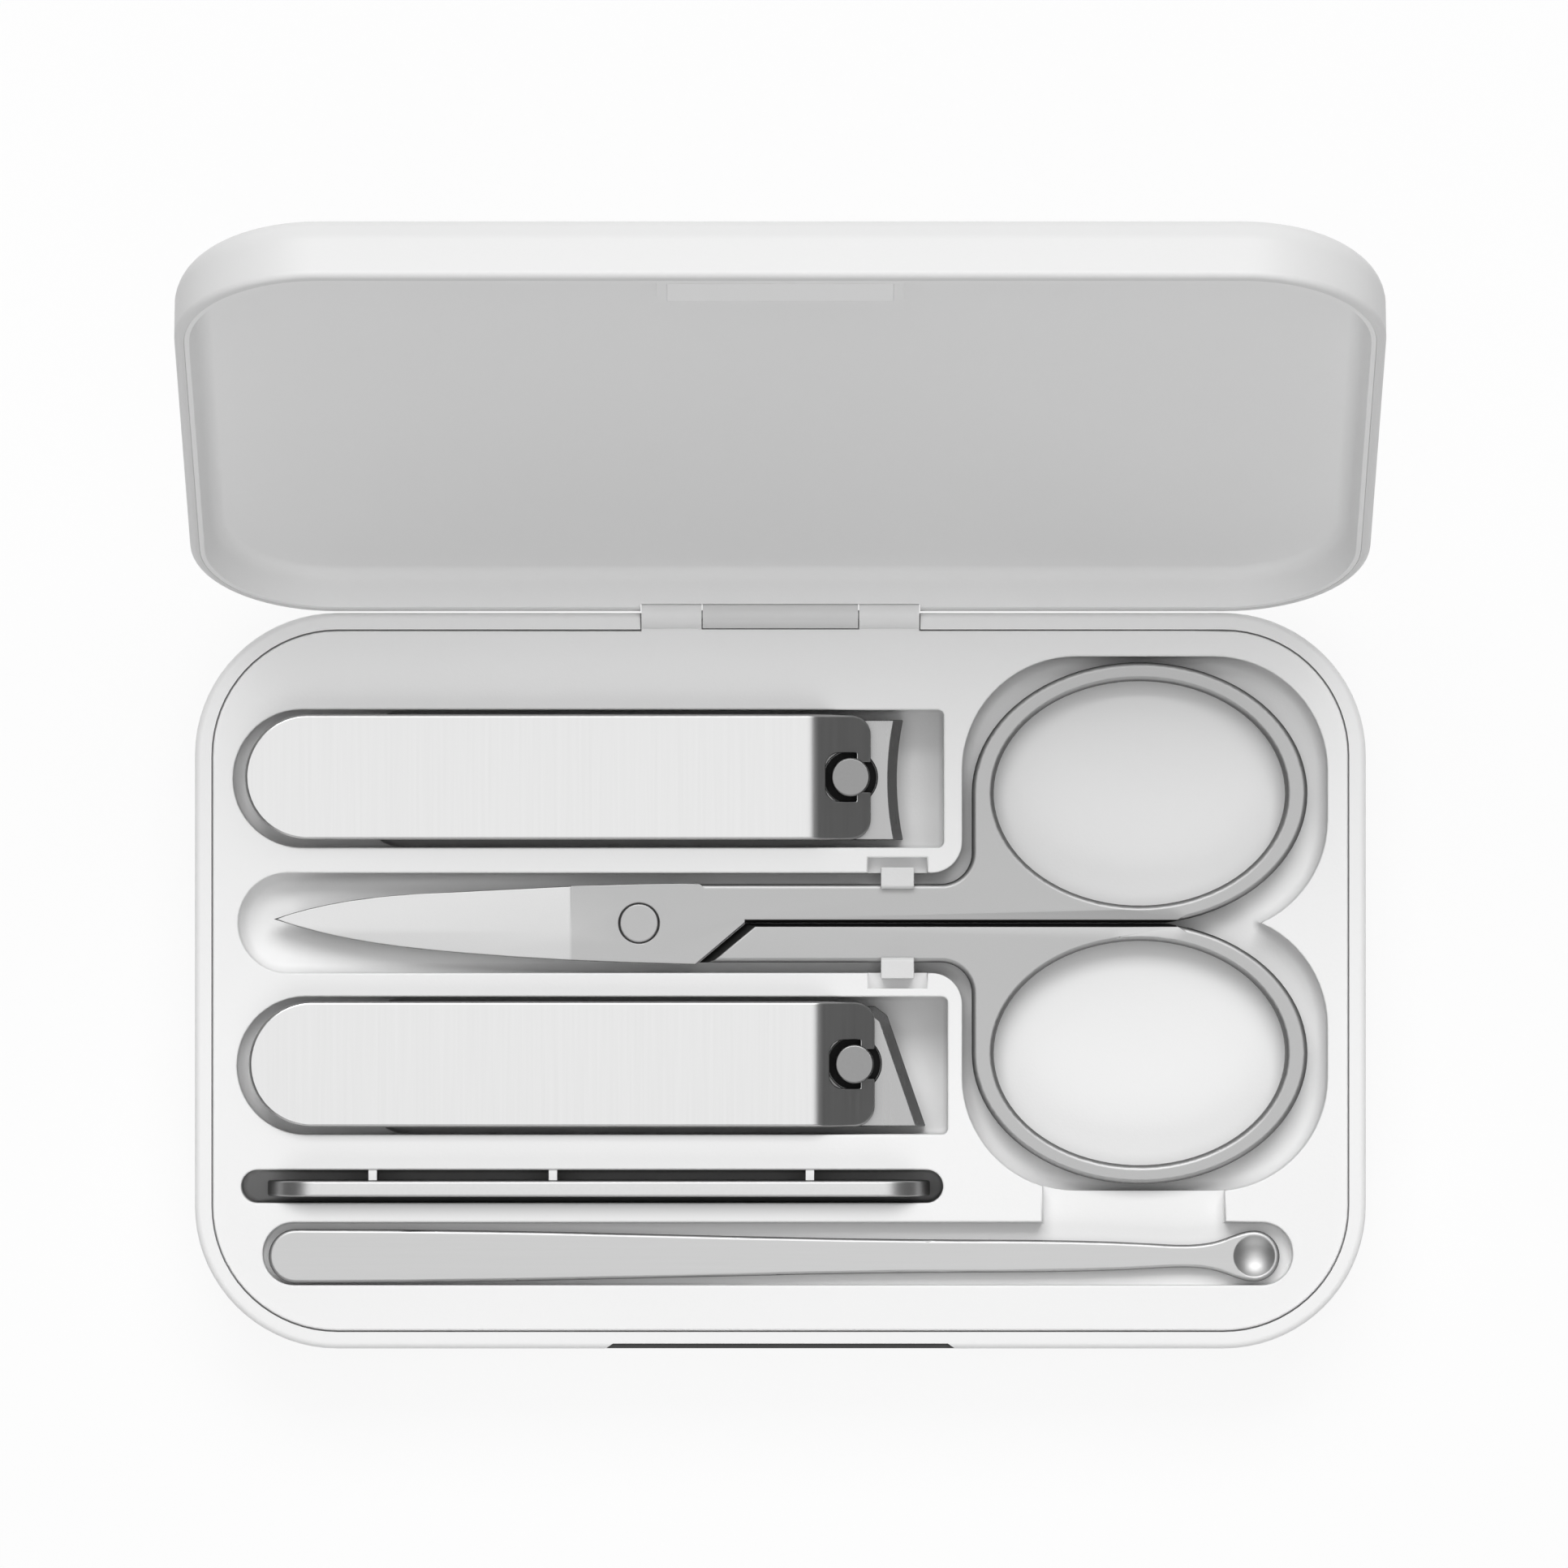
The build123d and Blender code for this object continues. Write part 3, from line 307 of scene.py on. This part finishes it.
# %% [markdown]
# ## Softened copies
# No moulded or stamped edge is truly sharp, and the narrow rounding on it is what catches the
# light. The CAD mesh is made of loose triangles, so a copy of it is prepared first: its points
# are merged, and its flat faces are joined into whole ones. A flat face with a hole in it bevels
# badly, so planes cut the mesh through the holes beforehand, and the faces are joined only up to
# these seams.

# %% Loose triangles become whole faces
same_point = 0.002 * mm
same_plane = 1e-7
still_flat = radians(0.3)


def whole_faces(mesh, cuts, shortest):
    """Open a copied CAD mesh as a bmesh with whole flat faces, split along each cut."""
    work = bmesh.new()
    work.from_mesh(mesh)
    bmesh.ops.remove_doubles(work, verts=work.verts, dist=same_point)
    bmesh.ops.dissolve_degenerate(work, edges=work.edges, dist=shortest)
    for axis, place in cuts:
        across = Vector((axis == "x", axis == "y", 0.0))
        everything = work.verts[:] + work.edges[:] + work.faces[:]
        cut = bmesh.ops.bisect_plane(
            work, geom=everything, plane_co=across * place, plane_no=across, dist=same_plane,
        )
        for part in cut["geom_cut"]:
            if isinstance(part, bmesh.types.BMEdge):
                part.seam = True
    bmesh.ops.dissolve_limit(
        work, angle_limit=still_flat, use_dissolve_boundaries=False, verts=work.verts,
        edges=work.edges, delimit={"SEAM"},
    )
    for face in work.faces:
        face.smooth = True
    return work


print("points merged within", same_point / mm, "mm")

# %% [markdown]
# ## Room for the rounding
# One width for every edge would be simple, but a bevel needs room: where a sharp edge ends at a
# step smaller than the bevel, the rounding would run past the step and fold over. The Bevel
# modifier can take its width at each edge from a weight, so each sharp edge gets a weight that
# fits the steps at its ends. Edges below a chosen level, deep inside a piece, stay sharp.

# %% A weight for each sharp edge
sharp_turn = radians(30.0)
same_line = 0.94
step_used = 0.7


def room_share(edge, width):
    """The share of the full width that the steps at an edge's two ends leave room for."""
    share = 1.0
    for corner in edge.verts:
        along = (edge.other_vert(corner).co - corner.co).normalized()
        for crossing in corner.link_edges:
            if crossing is edge:
                continue
            step = crossing.other_vert(corner).co - corner.co
            if abs(along.dot(step.normalized())) < same_line:
                share = min(share, step_used * step.length / width)
    return share


def mark_sharp(work, width, lowest):
    """Mark the sharp edges, give them their weights, and count them."""
    weight = work.edges.layers.float.new("bevel_weight_edge")
    marked = 0
    for edge in work.edges:
        turn = edge.calc_face_angle(None)
        edge.smooth = turn is not None and turn < sharp_turn
        if turn is not None and turn >= sharp_turn:
            low = min(corner.co.z for corner in edge.verts) < lowest
            edge[weight] = 0.0 if low or not width else room_share(edge, width)
            marked += 1
    return marked


print("an edge is sharp where its faces turn by", round(sharp_turn, 3), "radians or more")

# %% [markdown]
# ## Faces that a bevel turned over
# Where many small edges meet, a bevel can still turn a face over, which shows as a black speck.
# Such a face could be looked for by eye, but it is quicker to measure: its own normal no longer
# agrees with the normals at its corners. The edges near it are then made narrower, a few times
# over, and more strongly in the last rounds.

# %% Finding turned faces
smallest_seen = 2e-4 * mm * mm
least_agreement = 0.6


def turned_over(piece):
    """The corners of the faces that the piece's modifiers have turned over."""
    seen = piece.evaluated_get(bpy.context.evaluated_depsgraph_get())
    shape = seen.to_mesh()
    shape.calc_loop_triangles()
    corners = []
    for part in shape.loop_triangles:
        outward = sum((shape.corner_normals[loop].vector for loop in part.loops), Vector())
        if part.area > smallest_seen and part.normal.dot(outward) < least_agreement:
            corners += [shape.vertices[corner].co.copy() for corner in part.vertices]
    seen.to_mesh_clear()
    return corners


print("faces are looked at from", smallest_seen / mm / mm, "square mm")

# %% Narrowing the edges near them
rounds = 5
gentle, strong = 0.6, 0.2
least_weight = 0.02


def distance(point, start, end):
    """How far a point is from a straight edge."""
    nearest, along = intersect_point_line(point, start, end)
    if along < 0.0:
        nearest = start
    elif along > 1.0:
        nearest = end
    return (nearest - point).length


def narrow_where_turned(piece, reach):
    """Narrow the bevel near turned faces, and count the faces that are still turned."""
    mesh = piece.data
    weight = mesh.attributes["bevel_weight_edge"].data
    for step in range(rounds):
        corners = turned_over(piece)
        for edge in mesh.edges:
            if weight[edge.index].value > least_weight:
                start, end = (mesh.vertices[corner].co for corner in edge.vertices)
                if any(distance(corner, start, end) < reach for corner in corners):
                    weight[edge.index].value *= gentle if step < rounds - 2 else strong
        mesh.update()
    return len(turned_over(piece)) // 3


print("rounds of narrowing:", rounds)

# %% [markdown]
# ## Laying a copy over its solid
# The copy could be bevelled for good with bmesh, but as modifiers the bevel and the shading can
# still be changed afterwards, and the weights can be tried again. Weighted Normal lets large flat
# faces rule the shading, so that they look flat up to the rounding. Then the copy rides on the
# solid's body and takes the solid's place.

# %% The function that softens a solid
bevel_segments = 3
full_weight = 100
search_widths = 1.6
under_all = -1.0
body_of = {
    solid: body
    for body, members in frame["record"]["behaviour"]["bodies"].items()
    for solid in members
}


def round_edges(piece, width):
    """Round the weighted edges with a Bevel modifier."""
    edge = piece.modifiers.new("Edge", "BEVEL")
    edge.width = width
    edge.segments = bevel_segments
    edge.limit_method = "WEIGHT"
    edge.use_clamp_overlap = False
    edge.harden_normals = True
    edge.miter_outer = "MITER_ARC"


def softened(
    name, node_name, material, width, cuts=(), lowest=under_all, shortest=0.01 * mm,
):
    """Make a softened copy of one solid, and let it stand for that solid."""
    mesh = nodes[node_name].data.copy()
    work = whole_faces(mesh, cuts, shortest)
    marked = mark_sharp(work, width, lowest)
    work.to_mesh(mesh)
    work.free()
    mesh.materials.clear()
    mesh.materials.append(material)
    piece = bpy.data.objects.new(name, mesh)
    bpy.context.scene.collection.objects.link(piece)
    if width:
        round_edges(piece, width)
    flatten = piece.modifiers.new("Flat faces stay flat", "WEIGHTED_NORMAL")
    flatten.keep_sharp = True
    flatten.weight = full_weight
    turned = narrow_where_turned(piece, search_widths * width) if width else 0
    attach(piece, body_of[node_name])
    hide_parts(node_name)
    print(name, "faces", len(mesh.polygons), "sharp edges", marked, "turned", turned)


print("bodies:", len(set(body_of.values())))

# %% [markdown]
# ## The case's plastics
# Everything white is moulded, and one plastic for all of it would be the simplest. But the parts
# come from different moulds: the lid's lining is satin and the tray a little glossier. The lid's
# cover has a greyer colour than the base, which is painted shade. The catches are given a greyer
# colour too. So each part has a material of its own, with its own values for the same grain.

# %% Plain white plastics
# The lid's cover is given a greyer white than the base: painted shade.
white_cover_painted_shade = finish("White lid plastic, painted shade", grain, Colour=grey(0.74), Base_roughness=0.4)
white_lining = finish("White lid lining", grain, Colour=grey(0.90), Base_roughness=0.55)
white_boss = finish("White boss plastic", grain, Colour=grey(0.94), Base_roughness=0.5)
white_catch = finish("White catch plastic", grain, Colour=grey(0.72), Base_roughness=0.45)

# %% [markdown]
# ## Painted shade in two places
# The base has a finger notch in its front edge, and the tray has a deep, narrow slot for the file.
# Both lie in shade on a real case. The lamps could be placed to leave them dark, but the soft
# light that suits the other pieces reaches into them, so a placed mark paints that shade onto the
# plastic. The slot's mark is the file's own box with some room round it, and stops below the
# tray's top.

# %% The shell and its finger notch
notch_reach = (17.2 * mm, 0.6 * mm, 0.6 * mm)
notch_height = 10.9 * mm
notch_at = (0.0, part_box("base_shell")[0][1] + 0.2 * mm, notch_height)
white_shell = finish(
    "White shell plastic", grain, Colour=grey(0.86), Base_roughness=0.4,
    # The patch is painted shade on the floor of the finger notch.
    patch=(grey(0.06), {"Centre": notch_at, "Reach": notch_reach, "Squareness": 12.0}),
)
print("notch at", notch_at, "reaches", notch_reach)

# %% The tray and its file slot
lip = 0.7 * mm
room_round_file = (3.0 * mm, 2.2 * mm, 0.1 * mm)
slot_low, slot_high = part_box("nail_file")
slot_high[2] = tray_top - lip
slot_at = halfway(slot_low, slot_high)
slot_reach = [(b - a) / 2 + room for a, b, room in zip(slot_low, slot_high, room_round_file)]
slot_shade_mark = {"Centre": slot_at, "Reach": slot_reach, "Squareness": 12.0, "Fade": 0.4}
white_tray = finish(
    "White tray plastic", grain, Colour=grey(0.87), Base_roughness=0.48,
    # The patch is painted shade inside the file slot, below the tray's top.
    patch=(grey(0.3), slot_shade_mark),
)
print("slot at", slot_at, "reaches", slot_reach)

# %% [markdown]
# ## The case's pieces
# The base and the lid's cover already have their large roundings in CAD, so their copies need no
# bevel. The tray has the most edges. They could all be rounded, but only those at its top catch
# the light, so the ones deep in its cups stay sharp. One cut across the tray divides its large
# flat top. The lining, the boss over the magnets and the catches have small steps, so their
# rounding is narrower.

# %% Shells, tray, lining and catches
tray_cut = -30 * mm
rim_depth = 0.1 * mm
softened("base_tub", "base_shell", white_shell, 0)
softened(
    "tray", "tray_insert", white_tray, 0.18 * mm,
    cuts=[("x", tray_cut)], lowest=tray_top - rim_depth,
)
softened("lid_cover", "lid_shell", white_cover_painted_shade, 0)
softened("lid_lining", "lid_liner", white_lining, 0.08 * mm)
softened("lid_boss_cover", "lid_magnet_cover", white_boss, 0.05 * mm)
for end in ("back", "front"):
    softened(f"catch_at_{end}", f"{end}_catch", white_catch, 0.12 * mm)

# %% [markdown]
# ## The clippers' steel
# A clipper is two leaves of spring steel, a turned pin and a bent lever. The lever is brushed from
# side to side, so its marks are drawn out along y, and so are those of the ground jaws. The hole
# that the pin stands in lies deep in shade, and the jaws get painted shade round it. One material
# could serve all four jaws if the painted ring were a loop of faces, but a placed mark leaves the
# mesh plain. It stands at its own pin, so each clipper's jaws have a material of their own.

# %% Steels of the clippers
all_through = 20.0 * mm
hole_radius = 2.62 * mm
painted_hole_shade_reach = (hole_radius, hole_radius, all_through)
pin_steel = finish("Turned pin steel", marks, 1.0, Colour=grey(0.22), Base_roughness=0.3)
lever_steel = finish(
    "Brushed lever steel", marks, 1.0, Colour=grey(0.55), Stretch=(1.0, 0.02, 1.0),
    Base_roughness=0.3,
)
leaf_steel = {
    end: finish(
        f"Ground jaw steel, {end}", marks, 1.0, Colour=grey(0.33), Stretch=(1.0, 0.03, 1.0),
        Base_roughness=0.26,
        # Painted shade in the deep hole round the pin: the jaw's colour goes nearly black there.
        patch=(grey(0.012), {"Centre": middle(f"{end}_clipper_pin"), "Reach": painted_hole_shade_reach}),
    )
    for end in ("back", "front")
}
print("pins at", [middle(f"{end}_clipper_pin") for end in leaf_steel])

# %% [markdown]
# ## The clippers' pieces
# Both clippers are made alike, so one loop makes them. The hole for the pin goes through the lever
# and both jaws, so all three are cut lengthwise through the pin's middle before their flat faces
# are joined. The post is turned and already round, so it could be bevelled only at its ends, and
# it stays without a bevel.

# %% Levers, jaws and posts
for end in ("back", "front"):
    lengthwise = [("y", middle(f"{end}_clipper_pin")[1])]
    for piece_name, solid, steel, width in (
        ("lever", "lever", lever_steel, 0.12 * mm),
        ("upper_jaw", "upper_leaf", leaf_steel[end], 0.1 * mm),
        ("lower_jaw", "lower_leaf", leaf_steel[end], 0.1 * mm),
    ):
        softened(
            f"{end}_{piece_name}", f"{end}_clipper_{solid}", steel, width,
            lengthwise,
        )
    softened(f"{end}_post", f"{end}_clipper_pin", pin_steel, 0)

# %% [markdown]
# ## The scissors' steel
# The scissors are two flat halves on a rivet, blasted to a fine satin. Only the upper blade's
# outer face is ground, up to a straight line beside the rivet, and its brighter colour there is
# painted sheen. The ground part could have a material slot of its own, but then the mesh would
# have to be cut along that line. A placed mark with hard corners needs no cut, and it reaches only
# a little way below the blade's top.

# %% Steels of the scissors
satin = {
    "Colour": grey(0.42), "Marks_per_metre": 9000.0, "Base_roughness": 0.5, "Side_shade": 0.25,
}
step_from_rivet = 6.45 * mm
wide, shallow = 40 * mm, 2.0 * mm
blade_low, blade_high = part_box("scissor_upper_half")
ground_end = middle("scissor_rivet")[0] - step_from_rivet
ground_at = halfway(
    (blade_low[0], blade_low[1], blade_high[2]), (ground_end, blade_high[1], blade_high[2]),
)
ground_sheen_mark = {
    "Centre": ground_at, "Reach": ((ground_end - blade_low[0]) / 2, wide, shallow),
    "Squareness": 30.0, "Fade": 0.5,
}
scissor_steel = finish("Blasted scissor steel", marks, 1.0, **satin)
# The patch is painted sheen: a brighter colour on the blade's ground face.
blade_steel = finish("Ground blade steel", marks, 1.0, patch=(grey(0.53), ground_sheen_mark), **satin)
print("ground face from", blade_low[0], "to", ground_end, "top", blade_high[2])

# %% [markdown]
# ## The scissors' pieces
# Each half has a round hole at the rivet and a large one in its loop. Two cuts across the length
# go through both holes, so that no flat face has one. All edges could be rounded, but the lower
# ones lie hidden in the tray, so only those near the top are. Some curves of the halves are made
# of tiny edges that leave a bevel no room, so edges up to 0.04 mm long are dissolved first.

# %% Both halves and their pin
loop_cut = 33.0 * mm
top_band = 0.5 * mm
shortest_edge = 0.04 * mm
across = [("x", middle("scissor_rivet")[0]), ("x", loop_cut)]
for half, steel in (("upper", blade_steel), ("lower", scissor_steel)):
    softened(
        f"scissors_{half}", f"scissor_{half}_half", steel, 0.12 * mm,
        across, blade_high[2] - top_band, shortest_edge,
    )
softened("scissors_pin", "scissor_rivet", scissor_steel, 0)

# %% [markdown]
# ## The file and the ear pick
# The file is a thin steel blade that stands on its edge, so mostly its upper edge is seen. Its
# upright sides get less painted shade than those of the other tools. The ear pick is a flat satin
# strip with a small scoop at one end. It was polished along its length, so its marks are drawn out
# along x. Both could be modelled anew, but the solids have their full shape, and softened copies
# keep it.

# %% The file and the pick
file_steel = finish(
    "Nail file steel", marks, 1.0, Colour=grey(0.52), Base_roughness=0.36, Side_shade=0.6,
)
pick_steel = finish(
    "Satin pick steel", marks, 1.0, Colour=grey(0.51), Stretch=(0.03, 1.0, 1.0),
    Base_roughness=0.5,
)
softened("file", "nail_file", file_steel, 0.2 * mm)
softened("pick", "ear_pick", pick_steel, 0.08 * mm)

# %% [markdown]
# ## Solids that keep their own mesh
# The magnets and the hinge pin are hidden, and the clippers' rivets are small and already round.
# They could be copied like the rest, but that would add nothing to see, so these solids stay as
# they are and only get a finish.

# %% Magnets, hinge pin and rivets
magnet_plate = finish("Plated magnet", marks, 1.0, Colour=grey(0.6), Base_roughness=0.2)
for name, material in (
    ("base_magnets", magnet_plate),
    ("lid_magnets", magnet_plate),
    ("hinge_pin", pin_steel),
    ("back_clipper_rivet", pin_steel),
    ("front_clipper_rivet", pin_steel),
):
    nodes[name].data.materials.clear()
    nodes[name].data.materials.append(material)
    print(name, "gets", material.name)

# %% [markdown]
# ## Floor
# The case lies on a wide pale floor. A nearly white background could come from stronger lamps, but
# they would bleach the white case too. Instead, the floor's material mixes in a white glow that
# only the camera and reflections see. It doesn't light the case, and the part of the floor's own
# shade that is left keeps the soft shadow under the case.

# %% The floor's material
glow_share = 0.88
floor_material = bpy.data.materials.new("Pale floor")
floor_material.use_nodes = True
tree = floor_material.node_tree
shader = tree.nodes["Principled BSDF"]
shader.inputs["Base Color"].default_value = grey(0.85)
shader.inputs["Roughness"].default_value = 0.9
rays = node(tree, "ShaderNodeLightPath").outputs
seen = rays["Is Camera Ray"]
for kind in ("Is Glossy Ray", "Is Transmission Ray"):
    feeds = {0: seen, 1: rays[kind]}
    seen = node(tree, "ShaderNodeMath", feeds, operation="ADD", use_clamp=True).outputs[0]
glow = node(tree, "ShaderNodeEmission", {"Strength": 1.0})
blend = node(tree, "ShaderNodeMixShader", {
    0: maths(tree, "MULTIPLY", seen, glow_share), 1: shader.outputs[0], 2: glow.outputs[0],
})
tree.links.new(blend.outputs[0], tree.nodes["Material Output"].inputs["Surface"])
print("material made:", floor_material.name)

# %% The floor's mesh
half_side = 4.0
floor_mesh = bpy.data.meshes.new("floor")
work = bmesh.new()
bmesh.ops.create_grid(work, x_segments=1, y_segments=1, size=half_side)
work.to_mesh(floor_mesh)
work.free()
floor_mesh.materials.append(floor_material)
floor = bpy.data.objects.new("floor", floor_mesh)
bpy.context.scene.collection.objects.link(floor)
print("floor faces:", len(floor_mesh.polygons), "size:", tuple(floor.dimensions))

# %% [markdown]
# ## Light
# White plastic shows its form only through soft shade, and steel only through what it reflects. A
# small lamp would give hard shadows and bright spots, so the light comes from three large soft
# lamps: one behind the lid that models the tray's cups, one overhead, and a weak one in front
# that lights the inside of the lid. A dim white world fills the deepest shade.

# %% The world
world = bpy.data.worlds.new("Studio")
world.use_nodes = True
background = world.node_tree.nodes["Background"].inputs
background["Color"].default_value = grey(1.0)
background["Strength"].default_value = 0.14
bpy.context.scene.world = world
print("world strength:", round(background["Strength"].default_value, 3))

# %% The softboxes
aim = Vector((0.0, 0.02, 0.0))


def softbox(name, stands_at, size_x, size_y, power):
    """Add a rectangular area lamp that points at the case."""
    lamp = bpy.data.lights.new(name, "AREA")
    lamp.shape = "RECTANGLE"
    lamp.size = size_x
    lamp.size_y = size_y
    lamp.energy = power
    holder = bpy.data.objects.new(name, lamp)
    holder.location = stands_at
    holder.rotation_euler = (aim - Vector(stands_at)).to_track_quat("-Z", "Y").to_euler()
    bpy.context.scene.collection.objects.link(holder)
    print(name, size_x, "by", size_y, "m,", power, "W")


softbox("back_softbox", (0.0, 0.8, 1.05), 1.1, 0.6, 12.0)
softbox("overhead_softbox", (0.0, 0.05, 1.6), 1.4, 1.4, 8.5)
softbox("front_fill", (0.0, -1.1, 0.65), 1.6, 0.6, 4.5)

# %% [markdown]
# ## Camera
# The camera looks straight down, so the base is seen in plan and the open lid almost edge on. From
# nearby, the high lid would look much larger than the base. So the camera stands far away with a
# long lens. To move the case within the picture the camera could be turned, but then its sides
# would show, so the lens is shifted instead.

# %% Camera and view
camera_height = 1.52
camera_data = bpy.data.cameras.new("camera")
camera_data.sensor_width = 36.0
camera_data.lens = 358.7
camera_data.shift_y = 0.066
camera = bpy.data.objects.new("camera", camera_data)
camera.location = (0.35 * mm, 9.0 * mm, camera_height)
camera.rotation_euler = (0.0, 0.0, 0.0)
bpy.context.scene.collection.objects.link(camera)
bpy.context.scene.camera = camera
bpy.context.scene.view_settings.view_transform = "Standard"
print("camera", camera_height, "m up, lens", camera_data.lens, "mm")
